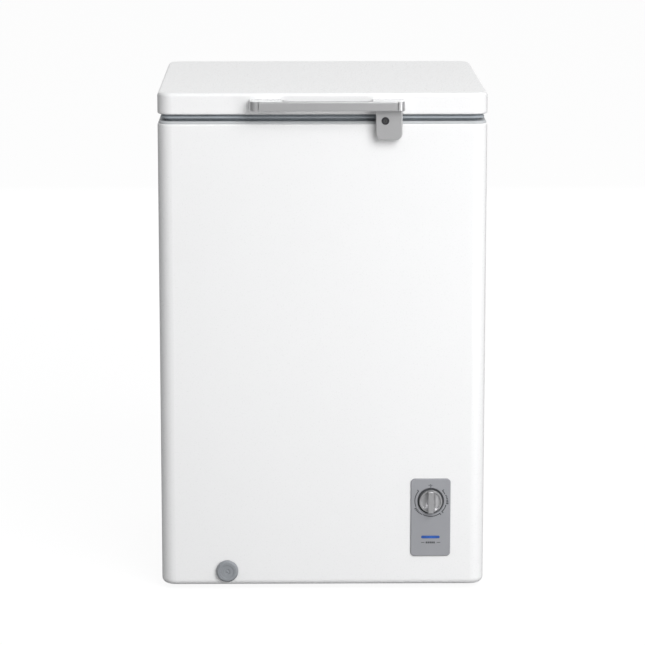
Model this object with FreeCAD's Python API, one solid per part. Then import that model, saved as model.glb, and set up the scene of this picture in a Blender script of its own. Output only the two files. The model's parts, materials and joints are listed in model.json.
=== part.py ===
"""Small chest freezer: one STEP file per separate piece, in millimetres.

The origin is on the floor under the middle of the whole object. X runs to the right as the
user faces the front, Y runs to the back and Z runs up.
"""

import FreeCAD, Part
import math
import os

from FreeCAD import Vector

# ---------------------------------------------------------------- driving dimensions
WIDTH = 545.0
HEIGHT = 845.0
FRONT_Y = -255.0
REAR_Y = 265.0
CORNER_R = 24.0
WALL = 55.0
SHEET = 0.7

FOOT_HEIGHT = 8.0
SHELL_TOP = 793.5
DECK_Z = 797.5
LID_BOTTOM = 809.0
BASE_EDGE_R = 10.0
LID_EDGE_R = 6.0
LID_HEM_R = 3.0
TOP_CURL_R = 3.0

HALF = WIDTH / 2
SHELL_BOTTOM = FOOT_HEIGHT
REAR_WINDOW_X = 236.0

# tank and machine bay
LINER_T = 0.8
TANK_FLOOR = 60.0
STEP_X = 40.0
STEP_Z = 275.0
BAY_X = 95.0
BAY_TOP = 225.0
BASE_SHEET = 1.0
BASE_Z = SHELL_BOTTOM + SHEET
TANK_X = HALF - WALL
TANK_FRONT = FRONT_Y + WALL
TANK_REAR = REAR_Y - WALL
TANK_R = 18.0
LEDGE_Z = 776.0
LEDGE_T = 2.0
LEDGE_W = 8.0

# lid
LID_PAN_INSET = 72.0
LID_PAN_Z = 801.0
LID_SHEET = 0.8
LINER_PANEL_T = 1.2
GASKET_OUT = 5.0
GASKET_IN = 24.0
GASKET_HEEL = 4.0
GASKET_BULGE_TOP = 3.0
GASKET_BULGE_LOW = 7.5

# lid hinges
HINGE_X = 165.0
AXIS_Y = REAR_Y + 13.0
AXIS_Z = 806.0
PIN_R = 3.0
RUNNING = 0.05
CAM_BASE_R = 4.0
CAM_START = 10.5
CAM_GAP = 0.3
OPEN_ANGLE = math.radians(80)
BRACKET_HALF = 21.5
BRACKET_T = 1.5
BRACKET_DEPTH = 22.0
BRACKET_LOW = 702.0
SPRING_Y = REAR_Y + 10.5

# handle and lock
HANDLE_Y = FRONT_Y - 32.0
HANDLE_LEFT = -120.5
HANDLE_RIGHT = 134.8
HANDLE_LOW = 817.8
HANDLE_TOP = 833.6
BAR_DEPTH = 10.0
SEAM_LEFT = -105.0
SEAM_RIGHT = 122.5
SEAM_GAP = 1.0
MOUNT_LEFT = -67.6
MOUNT_RIGHT = 82.0
GRIP_LEFT = -52.4
GRIP_RIGHT = 71.6
MOUNT_RISE = 1.6
MOUNT_LOW = HANDLE_LOW + 1.6
HANDLE_END_R = 9.6
TAB_FRONT = FRONT_Y - 17.0
TAB_BACK = FRONT_Y - 6.5
TAB_LEFT = 87.0
TAB_RIGHT = 131.0
TAB_LOW = 769.0
TAB_R = 11.0
TAB_FLARE = 9.0
LOCK_X = 102.6
LOCK_Z = 800.6
LOCK_R = 6.4
PLUG_R = 2.8
TAIL_HALF = 1.8

# control panel
PANEL_X = 182.0
PANEL_Z = 126.1
PANEL_W = 67.2
PANEL_H = 134.4
PANEL_PROUD = 3.0
KNOB_X = PANEL_X
KNOB_Z = 154.9
KNOB_R = 19.2
KNOB_HEIGHT = 13.5
GRIP_HALF = 4.5
SCOOP_R = 8.5
WELL_R = 22.9
WELL_DEPTH = 2.0
LENS_Z = 92.3
LENS_W = 31.4
LENS_H = 4.8

# drain
DRAIN_X = -161.5
DRAIN_Z = 33.6
DRAIN_R = 17.4
DIAL_R = 18.7
DRAIN_INLET_Y = -150.0

# basket
BASKET_X0 = 22.0
BASKET_X1 = 200.0
BASKET_LOW = 590.0
BASKET_WIRE = 3.0
BASKET_RIM = 3.6


# ---------------------------------------------------------------- shape helpers
def box(x0, x1, y0, y1, z0, z1):
    """Plain block between two corners."""
    return Part.makeBox(x1 - x0, y1 - y0, z1 - z0, Vector(x0, y0, z0))


def cylinder_x(x0, x1, y, z, radius):
    """Round bar along X."""
    return Part.makeCylinder(radius, x1 - x0, Vector(x0, y, z), Vector(1, 0, 0))


def cylinder_y(x, y0, y1, z, radius):
    """Round bar along Y."""
    return Part.makeCylinder(radius, y1 - y0, Vector(x, y0, z), Vector(0, 1, 0))


def cylinder_z(x, y, z0, z1, radius):
    """Round bar along Z."""
    return Part.makeCylinder(radius, z1 - z0, Vector(x, y, z0))


def join(shapes):
    """One solid from touching or overlapping solids."""
    result = shapes[0]
    for shape in shapes[1:]:
        result = result.fuse(shape)
    return result.removeSplitter()


def rounded_wire(x0, x1, y0, y1, radius):
    """Rectangle with round corners at z = 0."""
    bend = radius * (1 - math.sqrt(0.5))
    corners = [
        (Vector(x1 - radius, y0, 0), Vector(x1 - bend, y0 + bend, 0), Vector(x1, y0 + radius, 0)),
        (Vector(x1, y1 - radius, 0), Vector(x1 - bend, y1 - bend, 0), Vector(x1 - radius, y1, 0)),
        (Vector(x0 + radius, y1, 0), Vector(x0 + bend, y1 - bend, 0), Vector(x0, y1 - radius, 0)),
        (Vector(x0, y0 + radius, 0), Vector(x0 + bend, y0 + bend, 0), Vector(x0 + radius, y0, 0)),
    ]
    edges = []
    for index, (start, middle, end) in enumerate(corners):
        following = corners[(index + 1) % 4][0]
        edges.append(Part.Arc(start, middle, end).toShape())
        edges.append(Part.LineSegment(end, following).toShape())
    return Part.Wire(edges)


def slab(x0, x1, y0, y1, z0, z1, radius):
    """Upright block with round vertical corners."""
    face = Part.Face(rounded_wire(x0, x1, y0, y1, radius))
    face.translate(Vector(0, 0, z0))
    return face.extrude(Vector(0, 0, z1 - z0))


def body_slab(inset, z0, z1):
    """Block with the freezer's own outline, drawn in from the outside by the inset."""
    radius = max(CORNER_R - inset, 4.0)
    return slab(-HALF + inset, HALF - inset, FRONT_Y + inset, REAR_Y - inset, z0, z1, radius)


def body_ring(outer_inset, inner_inset, z0, z1):
    """Ring that follows the freezer's outline."""
    return body_slab(outer_inset, z0, z1).cut(body_slab(inner_inset, z0 - 1, z1 + 1))


def tank_slab(grow, z0, z1):
    """Block with the outline of the tank, grown outwards by the given amount."""
    return slab(-TANK_X - grow, TANK_X + grow, TANK_FRONT - grow, TANK_REAR + grow, z0, z1, TANK_R + grow)


def front_plate(x0, x1, z0, z1, y0, y1, radius):
    """Plate facing the front, with round corners as seen from the front."""
    plate = slab(x0, x1, z0, z1, -y1, -y0, radius)
    plate.rotate(Vector(0, 0, 0), Vector(1, 0, 0), 90)
    return plate


def edges_where(shape, test):
    """Edges whose bounding box passes a test."""
    return [edge for edge in shape.Edges if test(edge.BoundBox)]


def turned_about_y(profile, x, z):
    """Solid of revolution about a Y axis from (radius, y) points."""
    points = [Vector(x + radius, y, z) for radius, y in profile]
    face = Part.Face(Part.makePolygon(points + [points[0]]))
    return face.revolve(Vector(x, 0, z), Vector(0, 1, 0), 360)


def turned_about_z(profile, x, y):
    """Solid of revolution about a Z axis from (radius, z) points."""
    points = [Vector(x + radius, y, z) for radius, z in profile]
    face = Part.Face(Part.makePolygon(points + [points[0]]))
    return face.revolve(Vector(x, y, 0), Vector(0, 0, 1), 360)


def bent_path(points, bend):
    """Straight runs joined by tangent arcs."""
    points = [Vector(*point) for point in points]
    edges = []
    start = points[0]
    for before, corner, after in zip(points, points[1:], points[2:]):
        inward = (corner - before).normalize()
        outward = (after - corner).normalize()
        turn = inward.getAngle(outward)
        shorter = min((corner - before).Length, (after - corner).Length)
        reach = min(bend * math.tan(turn / 2), shorter / 2)
        radius = reach / math.tan(turn / 2)
        arc_start = corner - inward * reach
        arc_end = corner + outward * reach
        centre = corner + (outward - inward).normalize() * (radius / math.cos(turn / 2))
        middle = centre + (corner - centre).normalize() * radius
        if (arc_start - start).Length > 0.01:
            edges.append(Part.LineSegment(start, arc_start).toShape())
        edges.append(Part.Arc(arc_start, middle, arc_end).toShape())
        start = arc_end
    edges.append(Part.LineSegment(start, points[-1]).toShape())
    return Part.Wire(edges)


def bent_tube(points, radius, bend):
    """Round bar along a bent path."""
    direction = Vector(*points[1]) - Vector(*points[0])
    section = Part.Wire(Part.makeCircle(radius, Vector(*points[0]), direction))
    return bent_path(points, bend).makePipeShell([section], True, False)


def screw(x, z, face_y, into, length, shank_r=2.0, head_r=4.2, head_t=1.8):
    """Pan-head screw along Y: the head stands on face_y and the shank runs the way of into."""
    tip_y = face_y + into * length
    head_y = face_y - into * head_t
    shank = cylinder_y(x, min(face_y, tip_y), max(face_y, tip_y), z, shank_r)
    head = cylinder_y(x, min(face_y, head_y), max(face_y, head_y), z, head_r)
    slot_y = head_y + into * 0.8
    slot = box(x - head_r, x + head_r, min(head_y, slot_y), max(head_y, slot_y), z - 0.5, z + 0.5)
    return join([shank, head]).cut(slot)


def screw_holes(places, y0, y1, radius):
    """Round holes along Y at the given (x, z) places."""
    return Part.makeCompound([cylinder_y(x, y0, y1, z, radius) for x, z in places])


# ---------------------------------------------------------------- where the screws go
BRACKET_SCREWS = [(side * HINGE_X + dx, z)
                  for side in (-1, 1) for dx in (-27.5, 27.5) for z in (720.0, 772.0)]
LEAF_SCREWS = [(side * HINGE_X + dx, 834.0) for side in (-1, 1) for dx in (-22.0, 22.0)]
GRILLE_SCREWS = [(x, z) for x in (101.5, 228.5) for z in (22.0, 214.0)]
HANDLE_SCREWS = [(-92.0, 828.0), (92.0, 828.0), (124.0, 828.0), (-110.0, 828.0)]
KEEPER_SCREWS = [(LOCK_X - 11.0, 780.5), (LOCK_X + 11.0, 780.5)]


# ---------------------------------------------------------------- cabinet
def cabinet_shell():
    """Folded steel skin: front, sides and the turned-in edges of the back and the bottom."""
    def skin(inset, z0, z1):
        block = body_slab(inset, z0, z1)
        block = block.makeFillet(BASE_EDGE_R - inset, edges_where(block, lambda b: b.ZMax < z0 + 0.01))
        return block.makeFillet(TOP_CURL_R - inset, edges_where(block, lambda b: b.ZMin > z1 - 0.01))

    outer = skin(0, SHELL_BOTTOM, SHELL_TOP)
    inner = skin(SHEET, SHELL_BOTTOM + SHEET, SHELL_TOP - SHEET)
    mouth = body_slab(TOP_CURL_R, SHELL_TOP - 5, SHELL_TOP + 5)
    shell = outer.cut(inner).cut(mouth)
    shell = shell.cut(box(-REAR_WINDOW_X, REAR_WINDOW_X, REAR_Y - 3, REAR_Y + 3, 32, SHELL_TOP - 12))
    shell = shell.cut(box(-HALF + 30, HALF - 30, FRONT_Y + 30, REAR_Y - 30, 0, SHELL_BOTTOM + 3))
    shell = shell.cut(front_plate(PANEL_X - PANEL_W / 2 + 5, PANEL_X + PANEL_W / 2 - 5,
                                  PANEL_Z - PANEL_H / 2 + 5, PANEL_Z + PANEL_H / 2 - 5,
                                  FRONT_Y - 2, FRONT_Y + 3, 5))
    shell = shell.cut(cylinder_y(DRAIN_X, FRONT_Y - 2, FRONT_Y + 3, DRAIN_Z, 8.2))
    shell = shell.cut(screw_holes(GRILLE_SCREWS, REAR_Y - 3, REAR_Y + 3, 2.05))
    return shell.cut(screw_holes(KEEPER_SCREWS, FRONT_Y - 2, FRONT_Y + 3, 2.05))


def back_panel():
    """Rear sheet: it fills the window in the shell's back and laps behind its edges."""
    face_x = REAR_WINDOW_X - 0.3
    lap_x = REAR_WINDOW_X + 8
    face = box(-face_x, face_x, REAR_Y - SHEET - 0.1, REAR_Y, 32.3, SHELL_TOP - 12.3)
    lap = box(-lap_x, lap_x, REAR_Y - 2 * SHEET, REAR_Y - SHEET, 26, SHELL_TOP - 9.7)
    panel = join([face, lap])
    panel = panel.cut(box(BAY_X + 12, REAR_WINDOW_X - 12, REAR_Y - 5, REAR_Y + 5, 36, 206))
    panel = panel.cut(cylinder_y(CORD_X, REAR_Y - 5, REAR_Y + 5, CORD_Z, 6.0))
    panel = panel.cut(screw_holes(GRILLE_SCREWS, REAR_Y - 5, REAR_Y + 5, 2.05))
    return panel.cut(screw_holes(BRACKET_SCREWS, REAR_Y - 5, REAR_Y + 5, 2.05))


def base_pan():
    """Bottom sheet with the upright wall and the ceiling of the machine bay folded from it."""
    floor = body_slab(SHEET + 9.5, BASE_Z, BASE_Z + BASE_SHEET)
    wall = box(BAY_X - BASE_SHEET, BAY_X, FRONT_Y + 11, REAR_Y - 11, BASE_Z, BAY_TOP + BASE_SHEET)
    ceiling = box(BAY_X - BASE_SHEET, HALF, FRONT_Y + 11, REAR_Y - 11, BAY_TOP, BAY_TOP + BASE_SHEET)
    pan = join([floor, wall, ceiling.common(body_slab(SHEET + 0.3, BAY_TOP - 5, BAY_TOP + 5))])
    tubes = [cylinder_z(x, y, BAY_TOP - 2, BAY_TOP + 3, r) for x, y, r in CEILING_HOLES]
    slot_places = [BAY_X + 20 + 22 * n for n in range(6)]
    slots = [box(x, x + 10, -150, -60, BASE_Z - 1, BASE_Z + 3) for x in slot_places]
    holes = [cylinder_z(x, y, BASE_Z - 1, BASE_Z + 3, 2.6) for x, y in FOOT_PLACES]
    return pan.cut(Part.makeCompound(tubes + slots + holes))


def tank_block(grow):
    """Solid with the tank's stepped shape, grown outwards."""
    upper = tank_slab(grow, STEP_Z - grow, 792.5)
    deep = slab(-TANK_X - grow, STEP_X + grow, TANK_FRONT - grow, TANK_REAR + grow,
                TANK_FLOOR - grow, STEP_Z + 40, TANK_R + grow)
    return join([upper, deep])


def inner_liner():
    """Stepped inner tank of thin aluminium with a turned-out top flange."""
    outer = tank_block(0)
    inner = tank_block(-LINER_T)
    flange = tank_slab(14, 792.5 - LINER_T, 792.5)
    liner = join([outer, flange]).cut(inner)
    return liner.cut(cylinder_z(DRAIN_X, DRAIN_INLET_Y, TANK_FLOOR - 3, TANK_FLOOR + 3, 7.05))


def top_frame():
    """Plastic collar between the shell and the tank, with a bevelled outer edge and a ledge inside."""
    deck = body_slab(1.6, SHELL_TOP, DECK_Z)
    deck = deck.makeChamfer(2.4, edges_where(deck, lambda b: b.ZMin > DECK_Z - 0.01))
    lip = body_ring(TOP_CURL_R + 0.2, TOP_CURL_R + 2.2, SHELL_TOP - 9, SHELL_TOP)
    skirt = tank_slab(-LINER_T - 0.2, LEDGE_Z, DECK_Z)
    hole = tank_slab(-LINER_T - 0.2 - LEDGE_T, LEDGE_Z + LEDGE_T, DECK_Z + 5)
    ledge_hole = tank_slab(-LINER_T - 0.2 - LEDGE_T - LEDGE_W, LEDGE_Z - 5, DECK_Z)
    return join([deck, lip, skirt]).cut(hole).cut(ledge_hole)


def wrapped_coil(side_x, front_y, rear_y, levels):
    """Tube that runs round three sides of the cabinet, level by level, with U bends at the back."""
    points = []
    for index, z in enumerate(levels):
        row = [(-side_x, rear_y, z), (-side_x, front_y, z), (side_x, front_y, z), (side_x, rear_y, z)]
        points += row if index % 2 == 0 else row[::-1]
    return points


EVAPORATOR_R = 3.5
CONDENSER_R = 2.6
EVAPORATOR_LEVELS = [310.0 + 52.0 * n for n in range(9)]
CONDENSER_LEVELS = [284.0 + 52.0 * n for n in range(9)]
EVAPORATOR_POINTS = wrapped_coil(TANK_X + 3.8, TANK_FRONT - 3.8, TANK_REAR - 30, EVAPORATOR_LEVELS)
CONDENSER_POINTS = wrapped_coil(HALF - SHEET - 3.0, FRONT_Y + SHEET + 3.0, REAR_Y - 45, CONDENSER_LEVELS)
COIL_BEND = 22.0

# machine bay layout
COMPRESSOR_X = 184.0
COMPRESSOR_Y = 110.0
COMPRESSOR_R = 60.0
COMPRESSOR_LOW = 26.0
COMPRESSOR_HIGH = 158.0
CORD_X = 60.0
CORD_Z = 90.0
SUCTION_Y = 205.0
RISE_X = 232.0
HOT_X = 260.0
TUBE_R = 3.0
CAPILLARY_R = 1.2
DRIER_X = 122.0
DRIER_Y = 200.0
DRIER_R = 9.0
BULB_X = 150.0
BULB_Y = -215.0
CEILING_HOLES = [(RISE_X, SUCTION_Y, TUBE_R + 1.5), (HOT_X, SUCTION_Y, TUBE_R + 1.5),
                 (DRIER_X, DRIER_Y, CAPILLARY_R + 1.5), (BULB_X, BULB_Y, CAPILLARY_R + 1.5)]
FOOT_PLACES = [(sx * (HALF - 50), y) for sx in (-1, 1) for y in (FRONT_Y + 70, REAR_Y - 50)]


def suction_points():
    """Return gas: from the evaporator's lower front end round to the compressor's top."""
    return [(RISE_X, SUCTION_Y, STEP_Z - 22), (RISE_X, SUCTION_Y, 185),
            (RISE_X, COMPRESSOR_Y + 30, 185), (COMPRESSOR_X + 20, COMPRESSOR_Y + 30, 185),
            (COMPRESSOR_X + 20, COMPRESSOR_Y + 30, COMPRESSOR_HIGH - 10)]


def discharge_points():
    """Hot gas: from the compressor's side up to the condenser."""
    return [(COMPRESSOR_X + 50, COMPRESSOR_Y, 70), (HOT_X, COMPRESSOR_Y, 70),
            (HOT_X, SUCTION_Y, 70), (HOT_X, SUCTION_Y, STEP_Z - 22)]


def cabinet_foam():
    """Insulation between the shell and the tank."""
    block = body_slab(SHEET, BASE_Z + BASE_SHEET, SHELL_TOP)
    block = block.makeFillet(BASE_EDGE_R, edges_where(block, lambda b: b.ZMax < BASE_Z + BASE_SHEET + 0.01))
    foam = block.cut(tank_block(0))
    foam = foam.cut(box(BAY_X - BASE_SHEET, HALF, FRONT_Y, REAR_Y, 0, BAY_TOP + BASE_SHEET))
    foam = foam.cut(box(-REAR_WINDOW_X - 9, REAR_WINDOW_X + 9, REAR_Y - 2 * SHEET, REAR_Y, 25, SHELL_TOP))
    foam = foam.cut(body_ring(-2, TOP_CURL_R + 2.5, SHELL_TOP - 9.5, SHELL_TOP + 1))
    foam = foam.cut(tank_slab(14.5, 791.5, 800)).cut(tank_slab(1, 770, 800))
    foam = foam.cut(bent_tube(EVAPORATOR_POINTS, EVAPORATOR_R + 0.6, COIL_BEND))
    foam = foam.cut(bent_tube(CONDENSER_POINTS, CONDENSER_R + 0.6, COIL_BEND))
    pockets = [cylinder_z(x, y, BAY_TOP, STEP_Z - 20, 5.0) for x, y, _ in CEILING_HOLES[:3]]
    pockets.append(box(BULB_X - 5, BULB_X + 5, BULB_Y - 6, BULB_Y + 76, BAY_TOP, 260))
    pockets.append(cylinder_z(DRAIN_X, DRAIN_INLET_Y, DRAIN_Z, TANK_FLOOR + 1, 8.0))
    pockets.append(cylinder_y(DRAIN_X, FRONT_Y, DRAIN_INLET_Y + 8, DRAIN_Z, 8.3))
    pockets.append(cylinder_y(CORD_X, REAR_Y - 30, REAR_Y, CORD_Z, 8.5))
    pockets.append(screw_holes(BRACKET_SCREWS, REAR_Y - 20, REAR_Y + 1, 2.3))
    pockets.append(screw_holes(KEEPER_SCREWS, FRONT_Y - 1, FRONT_Y + 16, 2.3))
    pockets += [cylinder_z(x, y, BASE_Z, BASE_Z + 16, 3.0) for x, y in FOOT_PLACES]
    return foam.cut(Part.makeCompound(pockets))


def feet():
    """Four round plastic pads, each with a peg up into the base."""
    pad = [(0, 0), (15, 0), (17, 1.5), (19, SHELL_BOTTOM), (19, BASE_Z)]
    profile = pad + [(2.5, BASE_Z), (2.5, BASE_Z + 12), (0, BASE_Z + 12)]
    return Part.makeCompound([turned_about_z(profile, x, y) for x, y in FOOT_PLACES])


# ---------------------------------------------------------------- machine bay
def compressor_shell():
    """Welded steel can, hollow, with its mounting plate."""
    def can(gap):
        low = COMPRESSOR_LOW + gap
        high = COMPRESSOR_HIGH - gap
        radius = COMPRESSOR_R - gap
        block = cylinder_z(COMPRESSOR_X, COMPRESSOR_Y, low, high, radius)
        return block.makeFillet(26.0 - gap, edges_where(block, lambda b: b.ZLength < 0.01))

    neck_x = COMPRESSOR_X + 20
    neck_y = COMPRESSOR_Y + 30
    belt = cylinder_z(COMPRESSOR_X, COMPRESSOR_Y, 96, 101, COMPRESSOR_R + 2.5)
    plate = slab(COMPRESSOR_X - 78, COMPRESSOR_X + 78, COMPRESSOR_Y - 50, COMPRESSOR_Y + 50, 24, 27, 12)
    stub = cylinder_x(COMPRESSOR_X + 50, COMPRESSOR_X + 62, COMPRESSOR_Y, 70, 5)
    neck = cylinder_z(neck_x, neck_y, COMPRESSOR_HIGH - 24, COMPRESSOR_HIGH + 6, 5)
    shape = join([can(0), belt, plate, stub, neck]).cut(can(3.0))
    bores = [cylinder_x(COMPRESSOR_X + 40, COMPRESSOR_X + 70, COMPRESSOR_Y, 70, TUBE_R),
             cylinder_z(neck_x, neck_y, COMPRESSOR_HIGH - 30, COMPRESSOR_HIGH + 10, TUBE_R)]
    bores += [cylinder_z(x, y, 20, 30, 6.0) for x, y in mount_places()]
    return shape.cut(Part.makeCompound(bores))


def mount_places():
    """The four corners of the compressor's mounting plate."""
    return [(COMPRESSOR_X + sx * 68, COMPRESSOR_Y + sy * 40) for sx in (-1, 1) for sy in (-1, 1)]


def compressor_motor():
    """Stator, rotor and pump block inside the can, as one core hung on its springs' height."""
    stator = cylinder_z(COMPRESSOR_X, COMPRESSOR_Y, 50, 100, 44)
    pump = slab(COMPRESSOR_X - 30, COMPRESSOR_X + 30, COMPRESSOR_Y - 24, COMPRESSOR_Y + 24, 99, 128, 8)
    return join([stator, pump])


def compressor_grommets():
    """Four rubber bushes under and through the compressor's plate."""
    base = BASE_Z + BASE_SHEET
    profile = [(2.5, base), (10, base), (10, 24), (6, 24), (6, 27), (9, 27), (9, 30), (2.5, 30)]
    return Part.makeCompound([turned_about_z(profile, x, y) for x, y in mount_places()])


def terminal_cover():
    """Plastic box over the compressor's start relay."""
    block = slab(COMPRESSOR_X - 26, COMPRESSOR_X + 26, COMPRESSOR_Y - COMPRESSOR_R - 34,
                 COMPRESSOR_Y - COMPRESSOR_R - 4, 60, 118, 5)
    inside = slab(COMPRESSOR_X - 24, COMPRESSOR_X + 24, COMPRESSOR_Y - COMPRESSOR_R - 32,
                  COMPRESSOR_Y - COMPRESSOR_R, 62, 116, 3)
    return block.cut(inside)


def filter_drier():
    """Copper cylinder with necked ends, upright in the corner of the bay."""
    profile = [(0, 60), (3, 60), (3, 66), (DRIER_R, 76), (DRIER_R, 150), (3, 160), (3, 166),
               (CAPILLARY_R, 166), (CAPILLARY_R, 155), (0, 155)]
    return turned_about_z(profile, DRIER_X, DRIER_Y)


def suction_tube():
    return bent_tube(suction_points(), TUBE_R, 14)


def discharge_tube():
    return bent_tube(discharge_points(), TUBE_R, 14)


def capillary_tube():
    return cylinder_z(DRIER_X, DRIER_Y, 155, STEP_Z - 22, CAPILLARY_R)


def evaporator_coil():
    return bent_tube(EVAPORATOR_POINTS, EVAPORATOR_R, COIL_BEND)


def condenser_coil():
    return bent_tube(CONDENSER_POINTS, CONDENSER_R, COIL_BEND)


def rear_grille():
    """Louvred steel cover over the machine bay, outside the back panel."""
    plate = front_plate(BAY_X + 2, REAR_WINDOW_X - 1, 16, 220, REAR_Y, REAR_Y + 1.2, 4)
    slots = [front_plate(x, x + 46, z, z + 5, REAR_Y - 1, REAR_Y + 3, 2.4)
             for x in (BAY_X + 20, BAY_X + 74) for z in [44 + 12 * n for n in range(13)]]
    return plate.cut(Part.makeCompound(slots)).cut(screw_holes(GRILLE_SCREWS, REAR_Y - 1, REAR_Y + 3, 2.05))


def grille_screws():
    return Part.makeCompound([screw(x, z, REAR_Y + 1.2, -1, 8) for x, z in GRILLE_SCREWS])


def cord_inlet():
    """Rubber bush in the back where a mains lead would come out."""
    profile = [(2.5, REAR_Y - 8), (8, REAR_Y - 8), (8, REAR_Y - 2 * SHEET), (5.9, REAR_Y - 2 * SHEET),
               (5.9, REAR_Y), (9, REAR_Y), (7.5, REAR_Y + 5), (2.5, REAR_Y + 5)]
    return turned_about_y(profile, CORD_X, CORD_Z)


# ---------------------------------------------------------------- controls
def control_bezel():
    """Grey panel with a round well for the knob and a slot for the lens."""
    left = PANEL_X - PANEL_W / 2
    right = PANEL_X + PANEL_W / 2
    low = PANEL_Z - PANEL_H / 2
    high = PANEL_Z + PANEL_H / 2
    face = front_plate(left, right, low, high, FRONT_Y - PANEL_PROUD, FRONT_Y, 7)
    face = face.makeChamfer(1.2, edges_where(face, lambda b: b.YMax < FRONT_Y - PANEL_PROUD + 0.01))
    neck = front_plate(left + 5.3, right - 5.3, low + 5.3, high - 5.3, FRONT_Y, FRONT_Y + 12, 5)
    core = front_plate(left + 7.3, right - 7.3, low + 7.3, high - 7.3, FRONT_Y - 0.5, FRONT_Y + 13, 4)
    well = cylinder_y(KNOB_X, FRONT_Y - PANEL_PROUD - 1, FRONT_Y - PANEL_PROUD + WELL_DEPTH, KNOB_Z, WELL_R)
    spindle = cylinder_y(KNOB_X, FRONT_Y - 10, FRONT_Y + 13, KNOB_Z, 3.0 + 0.3)
    slot = front_plate(PANEL_X - LENS_W / 2, PANEL_X + LENS_W / 2, LENS_Z - LENS_H / 2, LENS_Z + LENS_H / 2,
                       FRONT_Y - 10, FRONT_Y + 13, LENS_H / 2 - 0.1)
    return join([face, neck.cut(core)]).cut(well).cut(spindle).cut(slot)


def control_knob():
    """Round knob: a rimmed disc, and a grip bar across it whose flanks sweep out into the disc."""
    back = FRONT_Y - PANEL_PROUD + 0.9
    floor = back - 3.0
    top = back - KNOB_HEIGHT
    disc = turned_about_y([(0, back), (KNOB_R, back), (KNOB_R, back - 5.5), (KNOB_R - 1.0, back - 6.5),
                           (KNOB_R - 2.2, back - 6.5), (KNOB_R - 3.4, floor), (0, floor)], KNOB_X, KNOB_Z)
    bend = SCOOP_R * (1 - math.sqrt(0.5))
    low = KNOB_Z - KNOB_R
    half = [(0, top), (0, floor - SCOOP_R), (bend, floor - bend), (SCOOP_R, floor), (SCOOP_R, back - 1)]
    right = [Vector(KNOB_X + GRIP_HALF + x, y, low) for x, y in half]
    left = [Vector(KNOB_X - GRIP_HALF - x, y, low) for x, y in half]
    edges = [Part.LineSegment(right[0], right[1]).toShape(),
             Part.Arc(right[1], right[2], right[3]).toShape(),
             Part.LineSegment(right[3], right[4]).toShape(),
             Part.LineSegment(right[4], left[4]).toShape(),
             Part.LineSegment(left[4], left[3]).toShape(),
             Part.Arc(left[3], left[2], left[1]).toShape(),
             Part.LineSegment(left[1], left[0]).toShape(),
             Part.LineSegment(left[0], right[0]).toShape()]
    bar = Part.Face(Part.Wire(edges)).extrude(Vector(0, 0, 2 * KNOB_R))
    bar = bar.common(cylinder_y(KNOB_X, top - 1, back, KNOB_Z, KNOB_R - 0.4))
    bar = bar.makeFillet(1.2, edges_where(bar, lambda b: b.YMax < top + 0.1))
    dimple = cylinder_y(KNOB_X, top - 1.5, top + 0.6, KNOB_Z + KNOB_R - 6.5, 1.6)
    return join([disc, bar]).cut(dimple).cut(cylinder_y(KNOB_X, back - 8, back + 1, KNOB_Z, 3.0))


def knob_spindle():
    """Steel spindle between the knob and the thermostat."""
    return cylinder_y(KNOB_X, FRONT_Y - PANEL_PROUD + 0.9 - 8, FRONT_Y + 22, KNOB_Z, 3.0)


def thermostat_body():
    """Metal case of the thermostat on its bushing behind the panel."""
    case = slab(KNOB_X - 20, KNOB_X + 20, FRONT_Y + 20, FRONT_Y + 46, KNOB_Z - 17, KNOB_Z + 17, 3)
    bushing = cylinder_y(KNOB_X, FRONT_Y, FRONT_Y + 20, KNOB_Z, 5.5)
    bore = cylinder_y(KNOB_X, FRONT_Y - 2, FRONT_Y + 23, KNOB_Z, 3.0 + RUNNING)
    line = cylinder_y(BULB_X, FRONT_Y + 20, FRONT_Y + 30, 150, 1.0)
    return join([case, bushing]).cut(bore).cut(line)


def thermostat_bulb():
    """Capillary and sensing bulb."""
    exit_y = FRONT_Y + 33
    line = bent_tube([(KNOB_X - 20, exit_y, 160.0), (BULB_X, exit_y, 160.0), (BULB_X, BULB_Y, 190.0),
                      (BULB_X, BULB_Y, 252.0), (BULB_X, BULB_Y + 26, 252.0)], CAPILLARY_R, 10)
    bulb = cylinder_y(BULB_X, BULB_Y + 24, BULB_Y + 70, 252.0, 3.2)
    return join([line, bulb])


def indicator_lens():
    """Clear blue window over the lamps."""
    gap = 0.1
    window = front_plate(PANEL_X - LENS_W / 2 + gap, PANEL_X + LENS_W / 2 - gap, LENS_Z - LENS_H / 2 + gap,
                         LENS_Z + LENS_H / 2 - gap, FRONT_Y - PANEL_PROUD - 0.4, FRONT_Y, LENS_H / 2 - 0.3)
    flange = front_plate(PANEL_X - LENS_W / 2 - 2, PANEL_X + LENS_W / 2 + 2, LENS_Z - LENS_H / 2 - 2,
                         LENS_Z + LENS_H / 2 + 2, FRONT_Y, FRONT_Y + 1.5, 2)
    return join([window, flange])


def indicator_lamps():
    """Small circuit board with three lamps, behind the lens."""
    board = box(PANEL_X - 24, PANEL_X + 24, FRONT_Y + 6, FRONT_Y + 7.6, LENS_Z - 8, LENS_Z + 8)
    lamps = [cylinder_y(PANEL_X + dx, FRONT_Y + 2, FRONT_Y + 6.2, LENS_Z, 1.5) for dx in (-10, 0, 10)]
    return join([board] + lamps)


# ---------------------------------------------------------------- drain
def drain_collar():
    """Ring on the shell's front round the drain outlet."""
    profile = [(7.0, FRONT_Y + 6), (7.0, FRONT_Y - 1.5), (DRAIN_R - 0.5, FRONT_Y - 1.5),
               (DRAIN_R, FRONT_Y - 1.0), (DRAIN_R, FRONT_Y), (8.0, FRONT_Y), (8.0, FRONT_Y + 6)]
    return turned_about_y(profile, DRAIN_X, DRAIN_Z)


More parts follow.
